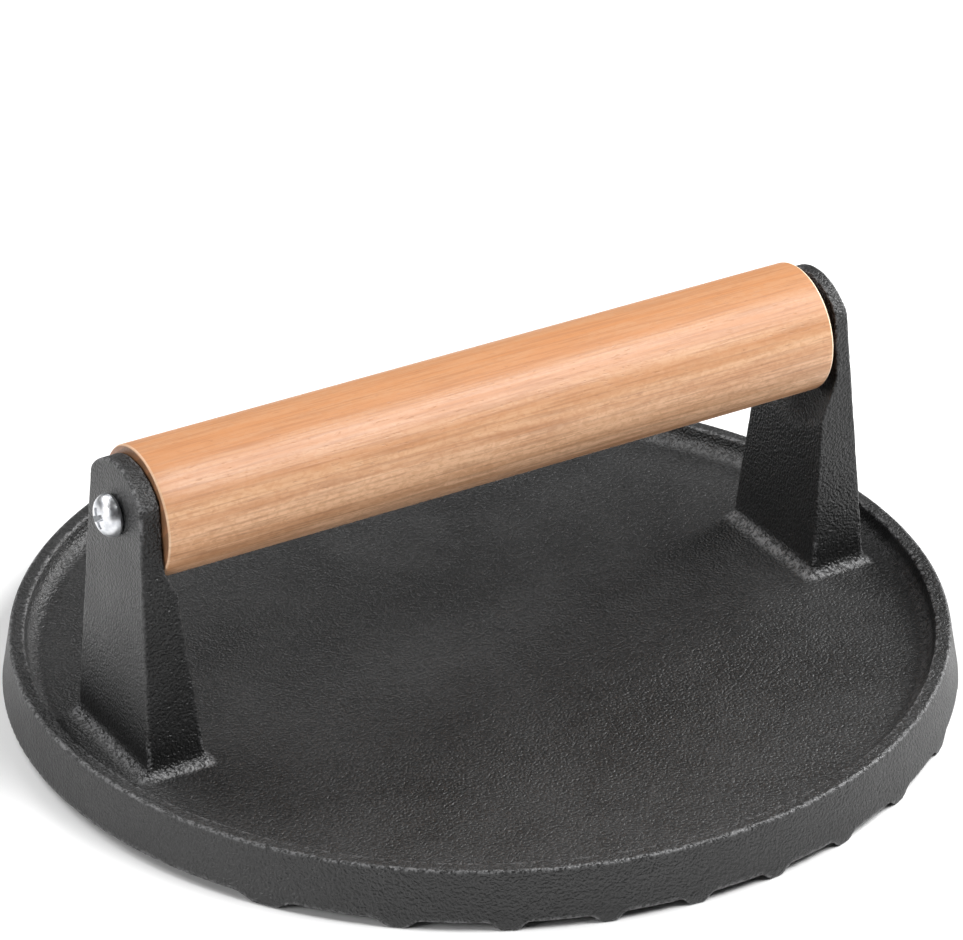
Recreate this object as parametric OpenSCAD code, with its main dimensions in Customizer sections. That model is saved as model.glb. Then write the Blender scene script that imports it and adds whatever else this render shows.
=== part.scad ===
// Round cast-iron patty press: a ribbed disc with a raised rim and two cast
// posts, and a turned wooden handle that turns on a steel tie rod between them.
// Millimetres, +Z up, X along the handle. The origin is at the centre of the
// disc, on the plane of the rib crests that the press stands on.

/* [Disc] */
// Radius of the disc at the bottom of its wall
disc_r = 101.9; // [90:0.1:115]
// How far the wall leans in from bottom to top
wall_draft = 1.9; // [0:0.1:3]
// Thickness of the plate between the ribs and the tray floor
plate_t = 6.3; // [4:0.1:8]
// Height of the rim above the tray floor
rim_h = 4.8; // [4.5:0.1:8]
// Width of the flat land on top of the rim
rim_w = 3.2; // [2.5:0.1:5]
// Radius of the cove between the rim and the tray floor
tray_cove_r = 3; // [1:0.5:3.5]

/* [Ribs] */
// Number of parallel ribs under the plate
rib_count = 10; // [8:1:10]
// Distance from one rib to the next
rib_pitch = 18.6; // [15:0.1:18.8]
// How far the ribs stand below the plate
rib_h = 1.8; // [1.5:0.1:3]
// Half width of a rib where its round flanks meet the plate
rib_foot_w = 3; // [2.5:0.1:4]
// Half width of a rib's flat crest
rib_crest_w = 1.3; // [0.8:0.1:1.6]

/* [Posts] */
// Distance from the tray floor to the top of a post
post_h = 65.4; // [60:0.1:75]
// Outer face of a post at the tray floor, from the centre
post_outer_x = 87.7; // [86:0.1:88]
// Inner face of a post at the tray floor, from the centre
post_inner_x = 74.3; // [72:0.1:76]
// How far the outer face leans in over the post's height
post_outer_lean = 3; // [1:0.1:4]
// How far the inner face leans out over the post's height
post_inner_lean = 6; // [4:0.1:7]
// Half width of a post at the tray floor
post_foot_w = 16; // [14:0.1:17]
// Half width that the straight sides would reach at the post's top
post_top_w = 10.4; // [9:0.1:11.5]
// Radius of the arc over a post's top
post_top_r = 13.3; // [13:0.1:16]
// Radius of the cove round a post's foot
foot_cove_r = 3.2; // [1:0.1:3.4]

/* [Handle] */
// Radius of the wooden handle
handle_r = 14.1; // [11:0.1:15]
// Length of the wooden handle
handle_l = 159.8; // [158:0.1:161]
// Chamfer round the ends of the handle
handle_chamfer = 0.4; // [0.3:0.1:2]
// Height of the handle's own axis above the tray floor
handle_axis_h = 53; // [50:0.1:56]
// How far the loose handle has slid along the tie rod from the disc's centre
handle_slide = -0.3; // [-0.3:0.1:0.3]
// How far the middle of the two seats lies from the disc's centre
seat_shift = 0.7; // [0:0.1:0.7]
// Half of what the seats' bottoms are apart beyond the handle's length
seat_end_gap = 1.2; // [1.2:0.1:1.4]
// Clearance between the handle's end and the lowest point of its seat's wall
seat_clearance = 0.1; // [0.1:0.1:0.5]
// How much a seat's radius grows for each millimetre towards the middle
seat_flare = 1.7; // [1.2:0.1:2]

/* [Tie rod and screws] */
// Radius of the tie rod
rod_r = 4; // [3.5:0.1:5]
// How far the handle's axis lies below the tie rod's axis
handle_droop = 1; // [0.2:0.1:1.2]
// Depth of the tapped hole in each end of the tie rod
tap_depth = 15; // [13:1:20]
// Nominal thread radius of the screws
thread_r = 2.5; // [2:0.25:2.5]
// Length of the screws under the head
screw_l = 16; // [12:1:16]
// Radius of the pan head
head_r = 4.65; // [4:0.05:5]
// Height of the pan head
head_h = 3.7; // [2:0.1:4]

/* [Hidden] */
$fn = 96;

overlap = 1;
edge_r = 0.5;
arc_steps = 6;
run_clearance = 0.05;
thread_clearance = 0.05;

floor_z = rib_h + plate_t;
rim_z = floor_z + rim_h;
rim_outer_r = disc_r - wall_draft;
rim_inner_r = rim_outer_r - rim_w;
tray_lean = 1;

post_top_z = floor_z + post_h;
handle_z = floor_z + handle_axis_h;
rod_z = handle_z + handle_droop;
seat_gap = handle_l + 2 * seat_end_gap;
// The nearer seat's radius where the handle's end comes, and at its flat bottom.
seat_r = handle_r + handle_droop + seat_clearance;
seat_bottom_r = seat_r - seat_flare * (seat_end_gap - abs(seat_shift - handle_slide));
seat_depth = 5.6;
bore_r = rod_r + handle_droop + run_clearance;
outer_slope = post_outer_lean / post_h;
// The posts' outer faces lean, so a head bears on its lower edge.
screw_face_x = post_outer_x - outer_slope * (rod_z - head_r - floor_z);
hole_r = thread_r + 0.4;

// A rib's flanks are one arc, through the edges of its crest and of its foot.
rib_axis_z = (rib_h * rib_h + rib_foot_w * rib_foot_w - rib_crest_w * rib_crest_w) / (2 * rib_h);
rib_r = norm([rib_crest_w, rib_axis_z]);

head_rim_h = 0.9;
recess_w = 1.2;
recess_l = 4.6;
recess_depth = 1.6;
recess_core_r = 1.4;

// Points along an arc about (cx, cy), from angle a to angle b.
function arc(cx, cy, r, a, b) = [
    for (i = [0:arc_steps])
        [cx + r * cos(a + (b - a) * i / arc_steps), cy + r * sin(a + (b - a) * i / arc_steps)]
];

// Turns a lathe profile drawn as (radius, distance) so that it lies along X.
module along_x() {
    rotate([0, 90, 0]) rotate_extrude() children();
}

// Half section of the disc and its rim.
module disc_profile() {
    cove_x = rim_inner_r - tray_lean - tray_cove_r;
    polygon(concat(
        [[0, rib_h]],
        arc(disc_r - edge_r, rib_h + edge_r, edge_r, -90, 0),
        arc(rim_outer_r - edge_r, rim_z - edge_r, edge_r, 0, 90),
        arc(rim_inner_r + edge_r, rim_z - edge_r, edge_r, 90, 180),
        arc(cove_x, floor_z + tray_cove_r, tray_cove_r, 0, -90),
        [[0, floor_z]]
    ));
}

// Ten ribs with round flanks and flat crests, ending flush with the disc.
module ribs() {
    intersection() {
        cylinder(r = disc_r, h = rib_h + overlap, $fn = 180);
        for (i = [0:rib_count - 1])
            translate([(i - (rib_count - 1) / 2) * rib_pitch, 0, rib_axis_z])
                rotate([90, 0, 0]) cylinder(r = rib_r, h = 2 * disc_r, center = true);
    }
}

// Quarter-round cove that fills the corner at the origin, towards +X and +Y.
module cove() {
    difference() {
        square(foot_cove_r);
        translate([foot_cove_r, foot_cove_r]) circle(foot_cove_r);
    }
}

// Outline of a post as seen along Y, standing on the tray floor.
module post_section() {
    polygon([
        [post_inner_x, -overlap],
        [post_outer_x, -overlap],
        [post_outer_x, 0],
        [post_outer_x - post_outer_lean, post_h],
        [post_inner_x + post_inner_lean, post_h],
        [post_inner_x, 0]
    ]);
    translate([post_inner_x - foot_cove_r, -overlap])
        square([post_outer_x - post_inner_x + 2 * foot_cove_r, overlap]);
    translate([post_outer_x, 0]) cove();
    translate([post_inner_x, 0]) mirror([1, 0]) cove();
}

// Outline of a post as seen along X, with an arc over its top.
module post_front() {
    intersection() {
        polygon([
            [-post_foot_w, -overlap],
            [post_foot_w, -overlap],
            [post_foot_w, 0],
            [post_top_w, post_h],
            [-post_top_w, post_h],
            [-post_foot_w, 0]
        ]);
        union() {
            translate([0, post_h - post_top_r]) circle(post_top_r, $fn = 180);
            translate([-post_foot_w, -overlap])
                square([2 * post_foot_w, post_h - post_top_r + overlap]);
        }
    }
    translate([-post_foot_w - foot_cove_r, -overlap])
        square([2 * (post_foot_w + foot_cove_r), overlap]);
    for (side = [0, 1])
        mirror([side, 0]) translate([post_foot_w, 0]) cove();
}

// The post at +X, without its seat and hole.
module post() {
    translate([0, 0, floor_z]) intersection() {
        rotate([90, 0, 0]) linear_extrude(4 * post_foot_w, center = true) post_section();
        rotate([90, 0, 90]) linear_extrude(disc_r) post_front();
    }
}

// The room for the handle between the posts: a flat bottom at each end, with
// walls that flare towards the middle.
module seats() {
    half = seat_gap / 2;
    mouth_r = seat_bottom_r + seat_flare * seat_depth;
    rotate_extrude() polygon([
        [0, -half],
        [seat_bottom_r, -half],
        [mouth_r, seat_depth - half],
        [mouth_r, half - seat_depth],
        [seat_bottom_r, half],
        [0, half]
    ]);
}

// One casting: disc, rim, ribs and both posts. Each post has a shallow round
// seat for the handle's end and a hole for the screw.
module press_casting() {
    color([0.2, 0.2, 0.21]) difference() {
        union() {
            rotate_extrude($fn = 180) disc_profile();
            ribs();
            for (side = [0, 1])
                mirror([side, 0, 0]) post();
        }
        translate([0, 0, rod_z]) rotate([0, 90, 0]) {
            translate([0, 0, seat_shift]) seats();
            cylinder(r = hole_r, h = 2 * disc_r, center = true);
        }
        translate([0, 0, -overlap]) cylinder(r = 2 * disc_r, h = overlap);
    }
}

// Turned beech handle, bored right through for the tie rod.
module wood_handle() {
    half = handle_l / 2;
    side_l = half - handle_chamfer;
    color([0.86, 0.64, 0.44]) translate([handle_slide, 0, handle_z]) along_x() polygon([
        [bore_r, -half],
        [handle_r - handle_chamfer, -half],
        [handle_r, -side_l],
        [handle_r, side_l],
        [handle_r - handle_chamfer, half],
        [bore_r, half]
    ]);
}

// Tapped hole at one end of the tie rod, with the drill's point at its bottom.
module tapped_hole() {
    tapped_r = thread_r + thread_clearance;
    point_h = 1.5;
    translate([0, 0, seat_gap / 2 - tap_depth])
        cylinder(r = tapped_r, h = tap_depth + overlap);
    translate([0, 0, seat_gap / 2 - tap_depth - point_h])
        cylinder(r1 = 0, r2 = tapped_r, h = point_h);
}

// Round steel rod clamped between the two seats, tapped at both ends.
module tie_rod() {
    half = seat_gap / 2;
    color([0.72, 0.73, 0.75]) translate([seat_shift, 0, rod_z]) rotate([0, 90, 0]) difference() {
        rotate_extrude() polygon([
            [0, -half],
            [rod_r - edge_r, -half],
            [rod_r, edge_r - half],
            [rod_r, half - edge_r],
            [rod_r - edge_r, half],
            [0, half]
        ]);
        tapped_hole();
        mirror([0, 0, 1]) tapped_hole();
    }
}

// Pan-head screw with a cross recess, its head standing up from z = 0.
module pan_head_screw() {
    crown_h = head_h - head_rim_h;
    crown_r = (head_r * head_r + crown_h * crown_h) / (2 * crown_h);
    difference() {
        union() {
            translate([0, 0, -screw_l]) cylinder(r1 = thread_r - edge_r, r2 = thread_r, h = edge_r);
            translate([0, 0, edge_r - screw_l]) cylinder(r = thread_r, h = screw_l - edge_r);
            intersection() {
                cylinder(r = head_r, h = head_h);
                translate([0, 0, head_h - crown_r]) sphere(crown_r);
            }
        }
        for (turn = [0, 90])
            rotate(turn) translate([-recess_l / 2, -recess_w / 2, head_h - recess_depth])
                cube([recess_l, recess_w, recess_depth + overlap]);
        translate([0, 0, head_h - recess_depth - recess_core_r])
            cylinder(r1 = 0, r2 = recess_core_r, h = recess_core_r + overlap);
    }
}

module handle_screw_right() {
    color([0.8, 0.81, 0.83]) translate([screw_face_x, 0, rod_z])
        rotate([0, 90, 0]) pan_head_screw();
}

module handle_screw_left() {
    color([0.8, 0.81, 0.83]) translate([-screw_face_x, 0, rod_z])
        rotate([0, -90, 0]) pan_head_screw();
}

press_casting();
wood_handle();
tie_rod();
handle_screw_left();
handle_screw_right();
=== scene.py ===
"""Looks for the cast-iron patty press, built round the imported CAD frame."""
import math

import bmesh
import bpy
import numpy as np
from mathutils import Matrix, Quaternion, Vector


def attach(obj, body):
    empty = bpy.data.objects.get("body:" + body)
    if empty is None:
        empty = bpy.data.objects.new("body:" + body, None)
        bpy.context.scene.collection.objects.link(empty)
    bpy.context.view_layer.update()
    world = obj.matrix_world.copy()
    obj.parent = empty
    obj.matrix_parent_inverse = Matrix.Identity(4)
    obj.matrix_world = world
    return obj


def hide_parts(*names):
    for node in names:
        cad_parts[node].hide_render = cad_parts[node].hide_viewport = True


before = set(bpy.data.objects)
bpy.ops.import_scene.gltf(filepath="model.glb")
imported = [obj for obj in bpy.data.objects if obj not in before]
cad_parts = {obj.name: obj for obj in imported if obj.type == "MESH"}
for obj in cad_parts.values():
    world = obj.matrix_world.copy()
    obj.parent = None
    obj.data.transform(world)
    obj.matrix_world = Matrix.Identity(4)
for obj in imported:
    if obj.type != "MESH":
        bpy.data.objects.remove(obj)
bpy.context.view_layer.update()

MM = 0.001

# Driving dimensions of the casting, in millimetres, as the CAD model has them.
DISC_R = 101.9
WALL_DRAFT = 1.9
PLATE_T = 6.3
RIM_H = 4.8
RIM_W = 3.2
TRAY_LEAN = 1.0
TRAY_COVE_R = 3.0
RIB_PITCH = 18.6
RIB_COUNT = 10
RIB_H = 1.8
RIB_FOOT_W = 3.0
RIB_CREST_W = 1.3
RIB_COVE_R = 1.0
POST_H = 65.4
POST_OUTER_X = 87.7
POST_INNER_X = 74.3
POST_OUTER_LEAN = 3.0
POST_INNER_LEAN = 6.0
POST_FOOT_W = 16.0
POST_TOP_W = 10.4
POST_TOP_R = 13.3
FOOT_COVE_R = 3.2
SEAT_SHIFT = 0.7
SEAT_END_GAP = 1.2
SEAT_CLEARANCE = 0.1
SEAT_FLARE = 1.7
HANDLE_AXIS_H = 53.0
HANDLE_R = 14.1
HANDLE_L = 159.8
HANDLE_SLIDE = -0.3
HANDLE_DROOP = 1.0
ROD_R = 4.0
BORE_CLEARANCE = 0.05
HOLE_R = 2.9
EDGE_R = 0.5
UNDER_EDGE_R = 0.4
POST_EDGE_R = 0.4
SEAT_EDGE_R = 0.4
HOLE_EDGE_R = 0.2
ARRIS_R = 0.55
# Below its centre a post's top arc widens by this much a millimetre, clear of the post's sides.
ARC_SPREAD = 0.05

# The M5 pan-head screws.
THREAD_R = 2.5
THREAD_PITCH = 0.8
THREAD_DEPTH = 0.45
SCREW_L = 16.0
HEAD_R = 4.65
HEAD_H = 3.7
HEAD_POWER = 2.5
RECESS_DEPTH = 1.6
# Reach from the axis and half width of each wing of the recess, at its mouth and at its bottom.
RECESS_MOUTH = (2.75, 0.75)
RECESS_BOTTOM = (1.25, 0.4)
# Turn of the recess in radians, and the angle in degrees past which an edge shades crisply.
SCREW_TURN = 0.5
SHARP_ANGLE = 32

FLOOR_Z = RIB_H + PLATE_T
RIM_Z = FLOOR_Z + RIM_H
RIM_OUTER_R = DISC_R - WALL_DRAFT
RIM_INNER_R = RIM_OUTER_R - RIM_W
RIB_AXIS_Z = (RIB_H ** 2 + RIB_FOOT_W ** 2 - RIB_CREST_W ** 2) / (2 * RIB_H)
RIB_R = math.hypot(RIB_CREST_W, RIB_AXIS_Z)
HANDLE_Z = FLOOR_Z + HANDLE_AXIS_H
ROD_Z = HANDLE_Z + HANDLE_DROOP
BORE_R = ROD_R + HANDLE_DROOP + BORE_CLEARANCE
SEAT_X = HANDLE_L / 2 + SEAT_END_GAP
SEAT_R = HANDLE_R + HANDLE_DROOP + SEAT_CLEARANCE
SEAT_BOTTOM_R = SEAT_R - SEAT_FLARE * (SEAT_END_GAP - abs(SEAT_SHIFT - HANDLE_SLIDE))
SCREW_FACE_X = POST_OUTER_X - POST_OUTER_LEAN / POST_H * (ROD_Z - HEAD_R - FLOOR_Z)

# The casting's mesh: size of a grid cell in millimetres, and the share of its faces that is kept.
CELL = 0.55
KEPT_SHARE = 0.3

# Colours are linear.
IRON_HOLLOW = (0.001, 0.001, 0.001, 1)
IRON_SKIN = (0.0075, 0.0075, 0.0077, 1)
# The tray's two colours are lighter than the iron's: painted light, used on the tray's up-facing
# surfaces.
LIT_TRAY_HOLLOW = (0.002, 0.002, 0.002, 1)
LIT_TRAY_SKIN = (0.021, 0.021, 0.0215, 1)
# Light grey for worn convex edges, and for the painted highlight in the coves.
IRON_WORN_AND_HIGHLIGHT = (0.16, 0.16, 0.163, 1)
IRON_ROUGH = 0.42
IRON_IOR = 1.6
# The iron's relief: size across and depth of each kind of lump, in millimetres.
IRON_FINE_SIZE = 0.55
IRON_FINE = 0.4
IRON_COARSE_SIZE = 1.2
IRON_COARSE = 0.1
IRON_PIT_SIZE = 1.1
IRON_PIT = 0.05
IRON_WAVE_SIZE = 26
IRON_WAVE = 0.25
IRON_PATCH_SIZE = 17

# The handle's colour is lighter towards the bottom and darker towards the top: painted light below,
# painted shade on top.
BEECH_LOW_PAINTED_LIGHT = (0.95, 0.6, 0.375, 1)
BEECH_MID = (0.68, 0.41, 0.24, 1)
BEECH_TOP_PAINTED_SHADE = (0.52, 0.27, 0.14, 1)
BEECH_LATE = (0.5, 0.215, 0.085, 1)
BEECH_RAY = (0.34, 0.15, 0.07, 1)
# Dark end grain, darkened further by painted shade where the ends sit against the posts.
BEECH_END_SHADOWED = (0.2, 0.1, 0.05, 1)
# Pale colour painted on the handle's arrises: a painted highlight.
BEECH_ARRIS_HIGHLIGHT = (0.92, 0.74, 0.54, 1)
BEECH_ROUGH = 0.42
# Millimetres: growth ring width, and the tree's heart as seen from the handle's axis.
RING_W = 4.2
RING_CENTRE_Y = 38.0
RING_CENTRE_Z = 52.0
RING_WANDER = 6.0
# Heights over the axis where the lighter underside gives way to the middle, and the middle to the
# darker top: painted light below, painted shade on top.
LOW_TO_MID = (-7, 7)
MID_TO_TOP = (4, 15)
FIBRE_DEPTH = 0.045
PORE_DEPTH = 0.03
METAL_DEPTH = 0.02
PAPER_DEPTH = 0.02

ZINC_LIGHT = (0.8, 0.81, 0.83, 1)
ZINC_DULL = (0.58, 0.6, 0.63, 1)
STEEL_LIGHT = (0.56, 0.56, 0.57, 1)
STEEL_DULL = (0.36, 0.35, 0.34, 1)
FLOOR_WHITE = (0.9, 0.9, 0.9, 1)
BACKDROP = (0.93, 0.93, 0.93, 1)

# Metres and degrees. The camera stands where the photographer stood.
CAMERA_LENS = 203.1
CAMERA_SENSOR_W = 36
CAMERA_AZIMUTH = -30.38
CAMERA_ELEVATION = 28.73
CAMERA_ROLL = -0.29
CAMERA_DISTANCE = 1.139
CAMERA_AIM = (0.00036, -0.00037, 0.0482)

ROOM_LIGHT = 0.03
# Softboxes: name, azimuth, elevation, distance, width, height, radiance.
SOFTBOXES = (
    ("softbox_key", 42, 54, 1.2, 0.62, 0.62, 12.5),
    ("softbox_right", 92, 24, 1.2, 0.62, 0.5, 12.0),
    ("softbox_back", 213, 50, 1.2, 1.0, 0.65, 4.6),
    ("softbox_left", 270, 24, 1.2, 0.6, 0.5, 6.4),
)

# ---------------------------------------------------------------- helpers


def new_object(name, verts, faces):
    """A mesh object from vertices in millimetres and faces."""
    mesh = bpy.data.meshes.new(name)
    mesh.from_pydata((np.asarray(verts) * MM).tolist(), [], faces)
    mesh.update()
    obj = bpy.data.objects.new(name, mesh)
    bpy.context.scene.collection.objects.link(obj)
    return obj


def apply_modifiers(obj):
    """Bakes an object's modifiers into its mesh."""
    graph = bpy.context.evaluated_depsgraph_get()
    mesh = bpy.data.meshes.new_from_object(obj.evaluated_get(graph))
    obj.modifiers.clear()
    old = obj.data
    obj.data = mesh
    bpy.data.meshes.remove(old)


def smooth(obj):
    """Shades every face of an object smooth."""
    for polygon in obj.data.polygons:
        polygon.use_smooth = True


# ------------------------------------------- the casting's distance field


def round_or(a, b, r):
    """Union of two solids with a cove of radius r where they meet."""
    inside = np.hypot(np.maximum(r - a, 0), np.maximum(r - b, 0))
    return np.maximum(r, np.minimum(a, b)) - inside


def round_and(a, b, r):
    """What two solids share, with its edges rounded to radius r."""
    outside = np.hypot(np.maximum(r + a, 0), np.maximum(r + b, 0))
    return np.minimum(-r, np.maximum(a, b)) + outside


def leaning(distance, run, rise):
    """True distance to a face that leans by run over rise."""
    return distance * math.cos(math.atan2(run, rise))


def disc_field(x, y, z):
    """Plate, rim and ribs."""
    r = np.hypot(x, y)
    wall_r = DISC_R - WALL_DRAFT * (np.maximum(z, RIB_H) - RIB_H) / (RIM_Z - RIB_H)
    wall = leaning(r - wall_r, WALL_DRAFT, RIM_Z - RIB_H)
    tray_r = RIM_INNER_R - TRAY_LEAN * (RIM_Z - z) / RIM_H
    rim = round_and(leaning(tray_r - r, TRAY_LEAN, RIM_H), z - RIM_Z, EDGE_R)
    top = round_or(z - FLOOR_Z, rim, TRAY_COVE_R)
    last = RIB_COUNT / 2 - 1
    rib_x = (np.clip(np.floor(x / RIB_PITCH), -last - 1, last) + 0.5) * RIB_PITCH
    rib = np.hypot(x - rib_x, z - RIB_AXIS_Z) - RIB_R
    under = round_and(round_or(RIB_H - z, rib, RIB_COVE_R), -z, UNDER_EDGE_R)
    return round_and(round_and(top, wall, EDGE_R), under, UNDER_EDGE_R)


def post_field(x, y, z):
    """Both posts, with their seats and screw holes."""
    ax = np.abs(x)
    ay = np.abs(y)
    rise = (z - FLOOR_Z) / POST_H
    outer = leaning(ax - POST_OUTER_X + POST_OUTER_LEAN * rise, POST_OUTER_LEAN, POST_H)
    inner = leaning(POST_INNER_X + POST_INNER_LEAN * rise - ax, POST_INNER_LEAN, POST_H)
    narrowing = POST_FOOT_W - POST_TOP_W
    side = leaning(ay - POST_FOOT_W + narrowing * rise, narrowing, POST_H)
    arc_z = FLOOR_Z + POST_H - POST_TOP_R
    above = np.maximum(z - arc_z, 0)
    below = np.minimum(z - arc_z, 0)
    arc = np.hypot(ay, above) - POST_TOP_R + ARC_SPREAD * below
    post = round_and(round_and(outer, inner, POST_EDGE_R), side, POST_EDGE_R)
    post = round_and(post, arc, POST_EDGE_R)
    post = np.maximum(post, FLOOR_Z - 2 - z)
    from_rod = np.hypot(y, z - ROD_Z)
    bottom = SEAT_X + SEAT_SHIFT * np.sign(x)
    wall = leaning(from_rod - SEAT_BOTTOM_R - SEAT_FLARE * (bottom - ax), SEAT_FLARE, 1)
    seat = np.maximum(wall, ax - bottom)
    post = round_and(post, -seat, SEAT_EDGE_R)
    return round_and(post, HOLE_R - from_rod, HOLE_EDGE_R)


def casting_field(points):
    """Signed distance to the casting, in millimetres, negative inside."""
    x, y, z = points[..., 0], points[..., 1], points[..., 2]
    return round_or(disc_field(x, y, z), post_field(x, y, z), FOOT_COVE_R)


def field_gradient(field, points):
    """Central differences of a field at each point."""
    step = 0.02
    columns = []
    for axis in range(3):
        shift = np.zeros(3)
        shift[axis] = step
        columns.append((field(points + shift) - field(points - shift)) / (2 * step))
    return np.stack(columns, -1)


def sample_field(field, low, high, step):
    """The field on a grid, worked out only in the bricks that its surface may cross."""
    brick = 8
    side = brick * step
    bricks = np.ceil((np.asarray(high) - low) / side).astype(int)
    middles = [low[i] + side * (np.arange(bricks[i]) + 0.5) for i in range(3)]
    rough = field(np.stack(np.meshgrid(*middles, indexing="ij"), -1))
    whole = np.ones((brick, brick, brick), np.float32)
    values = np.kron(np.where(rough < 0, -1, 1).astype(np.float32), whole)
    values = np.pad(values, ((0, 1), (0, 1), (0, 1)), mode="edge")
    near = np.abs(rough) < 1.1 * side
    inner = step * np.arange(brick + 1)
    inner = np.stack(np.meshgrid(inner, inner, inner, indexing="ij"), -1)
    for k in range(bricks[2]):
        cells = np.argwhere(near[:, :, k])
        if not len(cells):
            continue
        cells = np.column_stack([cells, np.full(len(cells), k)])
        corners = np.asarray(low) + side * cells
        found = field(corners[:, None, None, None] + inner)
        for (i, j, k), block in zip(cells * brick, found):
            values[i:i + brick + 1, j:j + brick + 1, k:k + brick + 1] = block
    return values


def mesh_of_field(field, low, high, step):
    """Vertices and quads of a field's zero surface, one vertex per crossed cell."""
    values = sample_field(field, low, high, step)
    counts = values.shape
    inside = values < 0
    corner_offsets = [(i, j, k) for i in (0, 1) for j in (0, 1) for k in (0, 1)]
    nx, ny, nz = (count - 1 for count in counts)

    def corner(array, i, j, k):
        return array[i:i + nx, j:j + ny, k:k + nz]

    total = sum(corner(inside, *c).astype(np.int8) for c in corner_offsets)
    cells = np.argwhere((total > 0) & (total < 8))
    index = np.full((nx, ny, nz), -1, np.int32)
    index[tuple(cells.T)] = np.arange(len(cells))

    # Each cell's vertex is the mean of the points where its edges cross the surface.
    position = np.zeros((len(cells), 3))
    hits = np.zeros(len(cells))
    for a in corner_offsets:
        for axis in range(3):
            if a[axis]:
                continue
            b = tuple(1 if i == axis else a[i] for i in range(3))
            va = values[tuple((cells + a).T)]
            vb = values[tuple((cells + b).T)]
            crossed = (va < 0) != (vb < 0)
            t = np.where(crossed, va / np.where(crossed, va - vb, 1), 0)
            point = np.asarray(a) + t[:, None] * np.eye(3)[axis]
            position += np.where(crossed[:, None], point, 0)
            hits += crossed
    verts = np.asarray(low) + step * (cells + position / hits[:, None])

    quads = []
    for axis in range(3):
        u, v = (axis + 1) % 3, (axis + 2) % 3
        here = np.take(inside, range(counts[axis] - 1), axis)
        there = np.take(inside, range(1, counts[axis]), axis)
        for leaving in (True, False):
            starts = np.argwhere((here & ~there) if leaving else (~here & there))
            ring = []
            for du, dv in ((0, 0), (1, 0), (1, 1), (0, 1)):
                cell = starts.copy()
                cell[:, u] -= du
                cell[:, v] -= dv
                ring.append(index[tuple(cell.T)])
            quad = np.stack(ring, -1)
            quads.append(quad if leaving else quad[:, ::-1])
    quads = np.concatenate(quads)
    for _ in range(3):
        gradient = field_gradient(field, verts)
        slope = np.maximum((gradient ** 2).sum(-1), 0.25)
        verts -= (field(verts) / slope)[:, None] * gradient
    return verts, quads


# ------------------------------------------------------------------ pieces


def sharpness(points, reach):
    """How sharply the casting's surface bends outwards within reach of each point."""
    bend = np.zeros(len(points))
    for axis in range(3):
        shift = np.zeros(3)
        shift[axis] = reach
        bend += casting_field(points + shift) + casting_field(points - shift)
    return bend / reach


def mesh_points(mesh):
    """A mesh's vertices in millimetres."""
    points = np.empty(len(mesh.vertices) * 3)
    mesh.vertices.foreach_get("co", points)
    return points.reshape(-1, 3) / MM


def make_casting():
    """The whole iron casting, with every edge rounded and every corner coved."""
    step = CELL
    margin = 1.3
    low = np.array([-DISC_R - margin, -DISC_R - margin, -margin])
    high = np.array([DISC_R + margin, DISC_R + margin, FLOOR_Z + POST_H + margin])
    verts, quads = mesh_of_field(casting_field, low, high, step)
    casting = new_object("cast_press_body", verts, quads.tolist())
    # The flat stretches are thinned, and the rounded edges keep every vertex.
    seen = (verts[:, 2] > RIB_H + 1) | (np.hypot(verts[:, 0], verts[:, 1]) > DISC_R - 4)
    keep = seen & (sharpness(verts, 1.4) > 0.2)
    flats = casting.vertex_groups.new(name="flats")
    flats.add(np.flatnonzero(~keep).tolist(), 1.0, "REPLACE")
    decimate = casting.modifiers.new("decimate", "DECIMATE")
    decimate.ratio = KEPT_SHARE
    decimate.vertex_group = "flats"
    apply_modifiers(casting)
    casting.vertex_groups.clear()
    smooth(casting)
    mesh = casting.data
    points = mesh_points(mesh)
    normals = field_gradient(casting_field, points)
    normals /= np.linalg.norm(normals, axis=1, keepdims=True)
    mesh.normals_split_custom_set_from_vertices(normals.tolist())
    add_surface_masks(mesh, points, normals)
    return casting


def fade(values, start, end):
    """0 up to start, 1 from end on, and straight in between."""
    return np.clip((values - start) / (end - start), 0, 1)


def add_surface_masks(mesh, points, normals):
    """Point attributes for the iron's material: grain, the tray's rougher finish with painted light
    on its up-facing surfaces, worn edges, and a painted highlight in the coves.
    """
    x, y, z = points.T
    nx, nz = normals[:, 0], normals[:, 2]
    r = np.hypot(x, y)
    tray = fade(r, RIM_OUTER_R + 1, RIM_OUTER_R - 1) * fade(z, PLATE_T, PLATE_T + 2)
    high = fade(z, FLOOR_Z + 10, FLOOR_Z + 50)
    outward = fade(nx * np.sign(x), 0, 1)
    edge = fade(sharpness(points, 0.6), 0.3, 0.8)
    on_post = fade(z, RIM_Z + 2, RIM_Z + 5) * fade(z, HANDLE_Z + 2, HANDLE_Z - 2)
    # The coves at the posts' feet get a bright painted highlight, and the one inside the rim a
    # little.
    tilted = fade(nz, 0.35, 0.55) * fade(nz, 0.97, 0.85)
    at_floor = (z < FLOOR_Z + TRAY_COVE_R) * (z > FLOOR_Z - 1) * (r < RIM_INNER_R - 0.5)
    by_rim = r > RIM_INNER_R - TRAY_LEAN - TRAY_COVE_R - 0.5
    cove = tilted * at_floor * np.where(by_rim, 0.3, 1.1)
    masks = {
        "grain": tray * (1 - 0.75 * high * outward),
        # Up-facing tray surfaces: a rougher finish, and a lighter colour that is painted light from
        # above.
        "matte_and_lit": tray * fade(nz, 0, 1),
        # Worn convex edges, and the painted highlight in the coves.
        "edge": np.maximum(edge * (1 - 0.8 * on_post), cove),
    }
    for name, value in masks.items():
        layer = mesh.attributes.new(name, "FLOAT", "POINT")
        layer.data.foreach_set("value", value.astype(np.float32))


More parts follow.
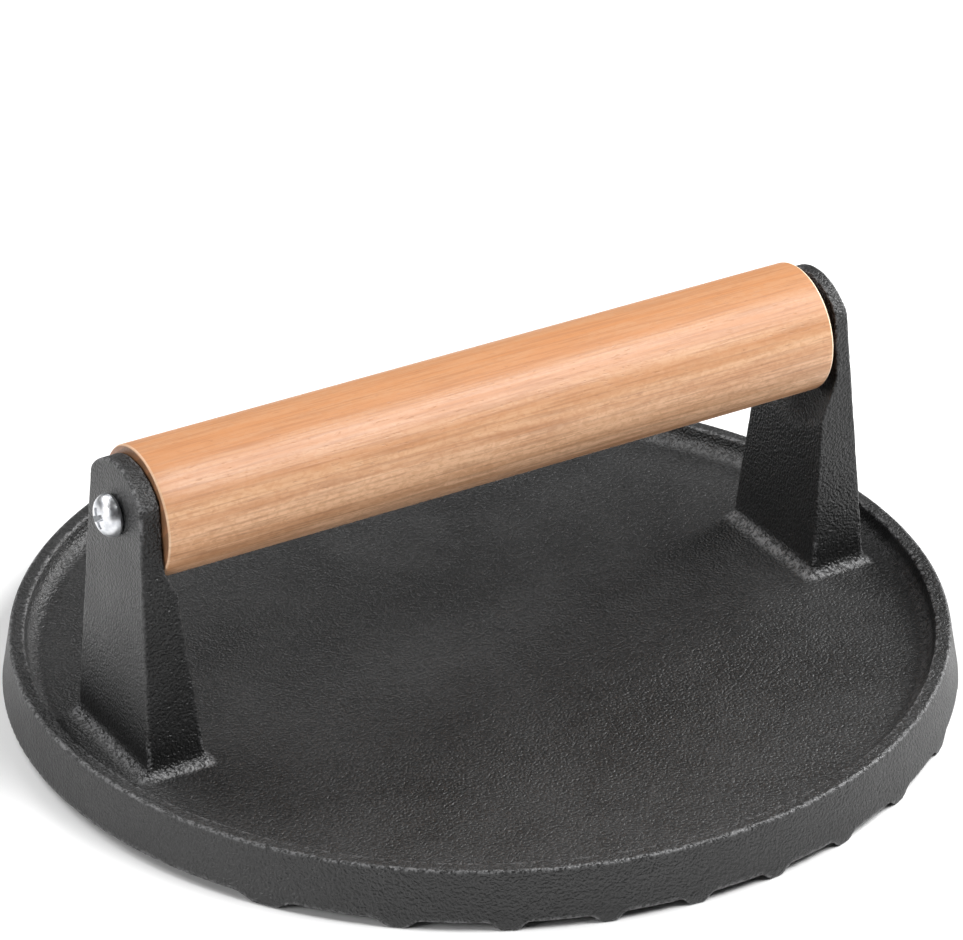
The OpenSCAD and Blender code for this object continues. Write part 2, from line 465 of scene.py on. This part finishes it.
def lathe_x(name, profile, segments):
    """Closed profile of (x, radius) points, turned round the handle's axis where it lies."""
    angles = np.linspace(0, 2 * math.pi, segments, endpoint=False)
    verts = []
    for x, r in profile:
        for a in angles:
            verts.append((x + HANDLE_SLIDE, r * math.sin(a), HANDLE_Z + r * math.cos(a)))
    rows = len(profile)
    faces = []
    for i in range(rows):
        for j in range(segments):
            k = (j + 1) % segments
            n = (i + 1) % rows
            faces.append((i * segments + j, i * segments + k, n * segments + k, n * segments + j))
    return new_object(name, verts, faces)


def make_handle():
    """Turned handle: straight sides, rounded arrises and a bore."""
    half = HANDLE_L / 2
    steps = 6
    end = []
    for i in range(steps + 1):
        a = math.pi / 2 * i / steps
        end.append((half - ARRIS_R * (1 - math.sin(a)), HANDLE_R - ARRIS_R * (1 - math.cos(a))))
    face = [(half, r) for r in np.linspace(HANDLE_R - ARRIS_R - 0.6, BORE_R + 0.8, 6)]
    mouth = [(half, BORE_R + 0.4), (half - 0.4, BORE_R)]
    right = end + face + mouth
    left = [(-x, r) for x, r in reversed(right)]
    side = [(x, HANDLE_R) for x in np.linspace(ARRIS_R - half, half - ARRIS_R, 40)[1:-1]]
    handle = lathe_x("beech_handle", left + side + right, 160)
    smooth(handle)
    return handle


def screw_profile():
    """Rows of (distance out from the bearing face, radius, thread depth) from tip to crown."""
    rows = [(-SCREW_L, 0.05, 0.0), (-SCREW_L, 1.0, 0.0), (-SCREW_L, 1.7, 0.0)]
    rows_per_pitch = 8
    count = int((SCREW_L - 0.6) / THREAD_PITCH * rows_per_pitch)
    for i in range(count + 1):
        d = -SCREW_L + 0.1 + i * THREAD_PITCH / rows_per_pitch
        tip = min(1.0, (d + SCREW_L) / 1.2)
        rows.append((d, THREAD_R - 0.6 * (1 - tip), THREAD_DEPTH * tip))
    rows += [(-0.15, THREAD_R - 0.1, 0.0), (0.0, THREAD_R + 0.2, 0.0), (0.0, HEAD_R - 0.9, 0.0)]
    rows.append((0.0, HEAD_R - 0.35, 0.0))
    power = 2 / HEAD_POWER
    crown_rows = 17
    for i in range(1, crown_rows):
        a = math.pi / 2 * i / crown_rows
        out = 0.1 + (HEAD_H - 0.1) * math.sin(a) ** power
        rows.append((out, HEAD_R * math.cos(a) ** power, 0.0))
    rows.append((HEAD_H, 0.05, 0.0))
    return rows


def cross_punch():
    """The tapered cross that a driver's recess is sunk with, along +Z from the bearing face."""
    verts = []
    for d, section in ((HEAD_H + 0.4, RECESS_MOUTH), (HEAD_H - RECESS_DEPTH, RECESS_BOTTOM)):
        wing, half_width = section
        outline = []
        for turn in range(4):
            c = round(math.cos(turn * math.pi / 2))
            s = round(math.sin(turn * math.pi / 2))
            for x, y in ((half_width, -half_width), (wing, -half_width), (wing, half_width)):
                outline.append((c * x - s * y, s * x + c * y, d))
        verts += outline
    count = len(verts) // 2
    faces = [tuple(range(count)), tuple(range(2 * count - 1, count - 1, -1))]
    for i in range(count):
        j = (i + 1) % count
        faces.append((i, i + count, j + count, j))
    return new_object("punch", verts, faces)


def make_screw(name, side):
    """Threaded pan-head screw with a cross recess, its head out along side * X."""
    segments = 64
    verts = []
    profile = screw_profile()
    for d, r, depth in profile:
        for j in range(segments):
            turn = j / segments
            phase = (d / THREAD_PITCH + turn) % 1
            radius = r - depth * abs(2 * phase - 1)
            a = 2 * math.pi * turn
            verts.append((radius * math.cos(a), radius * math.sin(a), d))
    faces = [tuple(range(segments))[::-1]]
    for i in range(len(profile) - 1):
        for j in range(segments):
            k = (j + 1) % segments
            low = i * segments
            high = low + segments
            faces.append((low + j, low + k, high + k, high + j))
    faces.append(tuple(range((len(profile) - 1) * segments, len(profile) * segments)))
    screw = new_object(name, verts, faces)
    punch = cross_punch()
    cut = screw.modifiers.new("recess", "BOOLEAN")
    cut.object = punch
    cut.operation = "DIFFERENCE"
    cut.solver = "EXACT"
    apply_modifiers(screw)
    bpy.data.objects.remove(punch)
    smooth(screw)
    mark_sharp_edges(screw.data, math.radians(SHARP_ANGLE))
    place = Matrix.Translation(Vector((side * SCREW_FACE_X, 0, ROD_Z)) * MM)
    outward = Matrix.Rotation(side * math.pi / 2, 4, "Y")
    screw.data.transform(place @ outward @ Matrix.Rotation(SCREW_TURN, 4, "Z"))
    return screw


def mark_sharp_edges(mesh, angle):
    """Marks edges that turn by more than the angle, so that they shade crisply."""
    work = bmesh.new()
    work.from_mesh(mesh)
    for edge in work.edges:
        edge.smooth = edge.is_manifold and edge.calc_face_angle() < angle
    work.to_mesh(mesh)
    work.free()


# --------------------------------------------------------------- materials


def new_material(name):
    """An empty node material and its node tree."""
    material = bpy.data.materials.new(name)
    material.use_nodes = True
    material.node_tree.nodes.clear()
    return material, material.node_tree


def add(tree, kind, inputs=None, output=0, **settings):
    """Adds a node, sets or links its inputs, and returns one of its outputs."""
    node = tree.nodes.new("ShaderNode" + kind)
    for key, value in settings.items():
        setattr(node, key, value)
    for key, value in (inputs or {}).items():
        if isinstance(value, bpy.types.NodeSocket):
            tree.links.new(value, node.inputs[key])
        else:
            node.inputs[key].default_value = value
    return node.outputs[output] if node.outputs else None


def sums(tree, *values):
    """Adds up values or outputs."""
    total = values[0]
    for value in values[1:]:
        total = add(tree, "Math", {0: total, 1: value}, operation="ADD")
    return total


def times(tree, a, b):
    """Multiplies two values or outputs."""
    return add(tree, "Math", {0: a, 1: b}, operation="MULTIPLY")


def ramp(tree, value, low, high, to_low=0.0, to_high=1.0):
    """Takes low..high to to_low..to_high, held at both ends."""
    inputs = {0: value, 1: low, 2: high, 3: to_low, 4: to_high}
    return add(tree, "MapRange", inputs, interpolation_type="SMOOTHSTEP")


def noise(tree, where, size, detail=2.0, distortion=0.0):
    """Noise, from 0 to 1, whose lumps are about size millimetres across."""
    inputs = {"Vector": where, "Scale": 1 / (size * MM), "Detail": detail, "Distortion": distortion}
    return add(tree, "TexNoise", inputs)


def along_x(tree, where, stretch, size, detail=2.0, distortion=0.0):
    """Noise whose lumps are drawn out along X, the more so the smaller stretch is."""
    drawn = add(tree, "Mapping", {"Vector": where, "Scale": (stretch, 1, 1)})
    return noise(tree, drawn, size, detail, distortion)


def mix(tree, factor, a, b):
    """Mixes two colours."""
    return add(tree, "Mix", {0: factor, 6: a, 7: b}, output=2, data_type="RGBA")


def bump(tree, height, depth, below=None):
    """Bumps the surface by height times depth millimetres, on top of another bump."""
    inputs = {"Strength": 1.0, "Distance": depth * MM, "Height": height}
    if below is not None:
        inputs["Normal"] = below
    return add(tree, "Bump", inputs)


def finish_material(tree, inputs):
    """Ends a material in one Principled shader."""
    shader = add(tree, "BsdfPrincipled", inputs)
    add(tree, "OutputMaterial", {"Surface": shader})


def iron_material():
    """Sand-cast iron under a thin black seasoning: grain, pits, worn edges, a painted highlight in
    the coves, painted light on the tray floor and painted shade in the grain's hollows.
    """
    material, tree = new_material("seasoned_iron")
    here = add(tree, "TexCoord", output="Object")
    grain = add(tree, "Attribute", attribute_name="grain", output="Fac")
    matte_and_lit = add(tree, "Attribute", attribute_name="matte_and_lit", output="Fac")
    edge = add(tree, "Attribute", attribute_name="edge", output="Fac")
    fine = noise(tree, here, IRON_FINE_SIZE, detail=1)
    coarse = noise(tree, here, IRON_COARSE_SIZE, detail=1)
    pits = ramp(tree, noise(tree, here, IRON_PIT_SIZE, detail=0), 0.22, 0.36)
    patches = noise(tree, here, IRON_PATCH_SIZE, detail=3)
    waves = noise(tree, here, IRON_WAVE_SIZE, detail=1)

    strength = ramp(tree, grain, 0, 1, 0.85, 1.0)
    height = sums(
        tree,
        times(tree, fine, IRON_FINE),
        times(tree, coarse, IRON_COARSE),
        times(tree, pits, IRON_PIT),
    )
    surface = bump(tree, waves, IRON_WAVE)
    surface = bump(tree, times(tree, height, strength), 1.0, surface)

    # The colour follows the fine bump: painted shade in the grain's hollows and painted light on
    # its peaks.
    peaks = ramp(tree, fine, 0.34, 0.66)
    skin = mix(tree, peaks, IRON_HOLLOW, IRON_SKIN)
    tray = mix(tree, peaks, LIT_TRAY_HOLLOW, LIT_TRAY_SKIN)
    # Painted light: the tray's up-facing surfaces take the lighter tray colours.
    shade = mix(tree, matte_and_lit, skin, tray)
    shade = mix(tree, ramp(tree, patches, 0.35, 0.65, 0, 0.25), shade, IRON_HOLLOW)
    # Lightens worn edges and paints the highlight into the coves.
    worn_and_highlight = times(tree, edge, ramp(tree, sums(tree, fine, coarse), 0.85, 1.15))
    shade = mix(tree, times(tree, worn_and_highlight, 0.75), shade, IRON_WORN_AND_HIGHLIGHT)
    gloss = ramp(tree, patches, 0.3, 0.7, IRON_ROUGH + 0.05, IRON_ROUGH - 0.04)
    gloss = sums(tree, gloss, times(tree, matte_and_lit, 0.1))
    finish_material(tree, {
        "Base Color": shade,
        "Roughness": gloss,
        "IOR": IRON_IOR,
        "Normal": surface,
    })
    return material


def beech_material():
    """Oiled beech, its grain along X: growth bands, fine fibres, rays and end grain, with painted
    light and shade by height, painted highlights on the arrises and painted shade on the ends.
    """
    material, tree = new_material("oiled_beech")
    here = add(tree, "TexCoord", output="Object")
    wander = along_x(tree, here, 0.12, 30)
    heart = (0, RING_CENTRE_Y * MM, (HANDLE_Z + RING_CENTRE_Z) * MM)
    from_heart = add(tree, "VectorMath", {0: here, 1: heart}, operation="SUBTRACT")
    across = add(tree, "VectorMath", {0: from_heart, 1: (0, 1, 1)}, operation="MULTIPLY")
    ring_r = add(tree, "VectorMath", {0: across}, output="Value", operation="LENGTH")
    ring_r = sums(tree, ring_r, times(tree, wander, RING_WANDER * MM))
    turns = times(tree, ring_r, 1 / (RING_W * MM))
    band = add(tree, "Math", {0: turns}, operation="FRACT")
    late = ramp(tree, band, 0.55, 0.97)
    late = times(tree, late, ramp(tree, band, 1.0, 0.97))

    streaks = along_x(tree, here, 0.06, 3.0, detail=3, distortion=0.3)
    fibres = along_x(tree, here, 0.03, 0.5)
    dashes = ramp(tree, along_x(tree, here, 0.22, 0.5, detail=1, distortion=0.6), 0.62, 0.8)
    mottle = along_x(tree, here, 0.6, 1.0, detail=3, distortion=0.9)
    cloud = along_x(tree, here, 0.25, 14)
    height = add(tree, "SeparateXYZ", {0: here}, output="Z")
    past_low = ramp(tree, height, *((HANDLE_Z + over) * MM for over in LOW_TO_MID))
    past_mid = ramp(tree, height, *((HANDLE_Z + over) * MM for over in MID_TO_TOP))

    # Painted light and shade: lighter towards the bottom of the handle, darker towards its top.
    shade = mix(tree, past_low, BEECH_LOW_PAINTED_LIGHT, BEECH_MID)
    shade = mix(tree, past_mid, shade, BEECH_TOP_PAINTED_SHADE)
    shade = mix(tree, ramp(tree, cloud, 0.3, 0.7, 0, 0.25), shade, BEECH_LATE)
    shade = mix(tree, times(tree, late, 0.35), shade, BEECH_LATE)
    shade = mix(tree, ramp(tree, streaks, 0.42, 0.66, 0, 0.6), shade, BEECH_LATE)
    shade = mix(tree, ramp(tree, mottle, 0.4, 0.64, 0, 0.34), shade, BEECH_LATE)
    shade = mix(tree, ramp(tree, fibres, 0.42, 0.7, 0, 0.42), shade, BEECH_RAY)
    shade = mix(tree, times(tree, dashes, 0.4), shade, BEECH_RAY)

    # The turned arrises get a painted highlight, strong on the end that faces +X and faint on the
    # other, and the flat ends show end grain.
    facing = add(tree, "NewGeometry", output="Normal")
    facing = add(tree, "SeparateXYZ", {0: facing}, output="X")
    arris_highlight_right = ramp(tree, facing, 0.08, 0.25, 0, 0.9)
    arris_highlight_left = ramp(tree, facing, -0.3, -0.1, 0.3, 0)
    end_grain = ramp(tree, add(tree, "Math", {0: facing}, operation="ABSOLUTE"), 0.8, 0.97)
    pores = noise(tree, here, 0.35, detail=1)
    # End faces: dark end grain, plus painted shade from the narrow gap against the posts.
    end_shade = mix(tree, times(tree, late, 0.7), BEECH_END_SHADOWED, BEECH_RAY)
    end_shade = mix(tree, ramp(tree, pores, 0.6, 0.7, 0, 0.6), end_shade, BEECH_RAY)
    shade = mix(tree, sums(tree, arris_highlight_left, arris_highlight_right), shade, BEECH_ARRIS_HIGHLIGHT)
    shade = mix(tree, end_grain, shade, end_shade)

    surface = bump(tree, fibres, FIBRE_DEPTH)
    surface = bump(tree, dashes, -PORE_DEPTH, surface)
    finish_material(tree, {
        "Base Color": shade,
        "Roughness": ramp(tree, streaks, 0.3, 0.7, BEECH_ROUGH - 0.04, BEECH_ROUGH + 0.05),
        "IOR": 1.5,
        "Normal": surface,
    })
    return material


def zinc_material():
    """Bright zinc plate on steel: faint blue, with small stains and scuffs."""
    material, tree = new_material("bright_zinc")
    here = add(tree, "TexCoord", output="Object")
    stains = noise(tree, here, 1.6, detail=3)
    scuffs = noise(tree, here, 0.3, detail=2)
    shade = mix(tree, ramp(tree, stains, 0.35, 0.7), ZINC_LIGHT, ZINC_DULL)
    finish_material(tree, {
        "Base Color": shade,
        "Metallic": 1.0,
        "Roughness": ramp(tree, scuffs, 0.3, 0.7, 0.3, 0.44),
        "Normal": bump(tree, scuffs, METAL_DEPTH),
    })
    return material


def rod_material():
    """Cold-drawn steel with fine lines along its length."""
    material, tree = new_material("drawn_steel")
    here = add(tree, "TexCoord", output="Object")
    lines = along_x(tree, here, 0.02, 0.25, detail=3)
    stains = noise(tree, here, 6, detail=3)
    finish_material(tree, {
        "Base Color": mix(tree, ramp(tree, stains, 0.35, 0.7), STEEL_LIGHT, STEEL_DULL),
        "Metallic": 1.0,
        "Roughness": ramp(tree, lines, 0.3, 0.7, 0.26, 0.42),
        "Normal": bump(tree, lines, METAL_DEPTH),
    })
    return material


def floor_material():
    """White sweep paper with a very slight tooth."""
    material, tree = new_material("sweep_paper")
    here = add(tree, "TexCoord", output="Object")
    finish_material(tree, {
        "Base Color": FLOOR_WHITE,
        "Roughness": 0.9,
        "Normal": bump(tree, noise(tree, here, 1.5, detail=2), PAPER_DEPTH),
    })
    return material


def dress(obj, material):
    """Gives an object this one material."""
    obj.data.materials.clear()
    obj.data.materials.append(material)


# ------------------------------------------------------------------ studio


def make_floor():
    """A large pale floor under the ribs."""
    size = 4000.0
    drop = 0.05
    steps = 8
    line = np.linspace(-size, size, steps + 1)
    verts = [(x, y, -drop) for y in line for x in line]
    faces = []
    for j in range(steps):
        for i in range(steps):
            low = j * (steps + 1) + i
            faces.append((low, low + 1, low + steps + 2, low + steps + 1))
    floor = new_object("studio_floor", verts, faces)
    dress(floor, floor_material())


def toward(azimuth, elevation):
    """Unit vector to a place at that azimuth, 0 being -Y and 90 being +X, in degrees."""
    a = math.radians(azimuth)
    e = math.radians(elevation)
    return Vector((math.sin(a) * math.cos(e), -math.cos(a) * math.cos(e), math.sin(e)))


def softbox(name, azimuth, elevation, distance, width, height, radiance):
    """A rectangular softbox that faces the press, metres, with that even brightness."""
    lamp = bpy.data.lights.new(name, "AREA")
    lamp.shape = "RECTANGLE"
    lamp.size = width
    lamp.size_y = height
    lamp.energy = radiance * math.pi * width * height
    box = bpy.data.objects.new(name, lamp)
    back = toward(azimuth, elevation)
    box.location = back * distance
    box.rotation_mode = "QUATERNION"
    box.rotation_quaternion = (-back).to_track_quat("-Z", "Y")
    bpy.context.scene.collection.objects.link(box)


def make_world():
    """Dim room light, with a pale backdrop where the camera sees past the floor."""
    world = bpy.data.worlds.new("studio_room")
    world.use_nodes = True
    tree = world.node_tree
    tree.nodes.clear()
    seen = add(tree, "LightPath", output="Is Camera Ray")
    room = add(tree, "Background", {"Color": (1, 1, 1, 1), "Strength": ROOM_LIGHT})
    pale = add(tree, "Background", {"Color": BACKDROP, "Strength": 1.0})
    both = add(tree, "MixShader", {0: seen, 1: room, 2: pale})
    add(tree, "OutputWorld", {"Surface": both})
    bpy.context.scene.world = world


def make_camera():
    """Long lens, aimed at the middle of the press from the photo's angle."""
    data = bpy.data.cameras.new("camera")
    data.lens = CAMERA_LENS
    data.sensor_width = CAMERA_SENSOR_W
    data.clip_start = 0.01
    data.clip_end = 50
    camera = bpy.data.objects.new("camera", data)
    back = toward(CAMERA_AZIMUTH, CAMERA_ELEVATION)
    camera.location = Vector(CAMERA_AIM) + back * CAMERA_DISTANCE
    camera.rotation_mode = "QUATERNION"
    level = (-back).to_track_quat("-Z", "Y")
    camera.rotation_quaternion = level @ Quaternion((0, 0, 1), math.radians(CAMERA_ROLL))
    bpy.context.scene.collection.objects.link(camera)
    bpy.context.scene.camera = camera


casting = make_casting()
dress(casting, iron_material())
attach(casting, "press")
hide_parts("press_casting")

handle = make_handle()
dress(handle, beech_material())
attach(handle, "handle")
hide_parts("wood_handle")

zinc = zinc_material()
for side, word in ((-1, "left"), (1, "right")):
    screw = make_screw("pan_head_screw_" + word, side)
    dress(screw, zinc)
    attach(screw, "press")
    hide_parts("handle_screw_" + word)

dress(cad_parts["tie_rod"], rod_material())

make_floor()
make_world()
for row in SOFTBOXES:
    softbox(*row)
make_camera()
bpy.context.scene.view_settings.view_transform = "Standard"
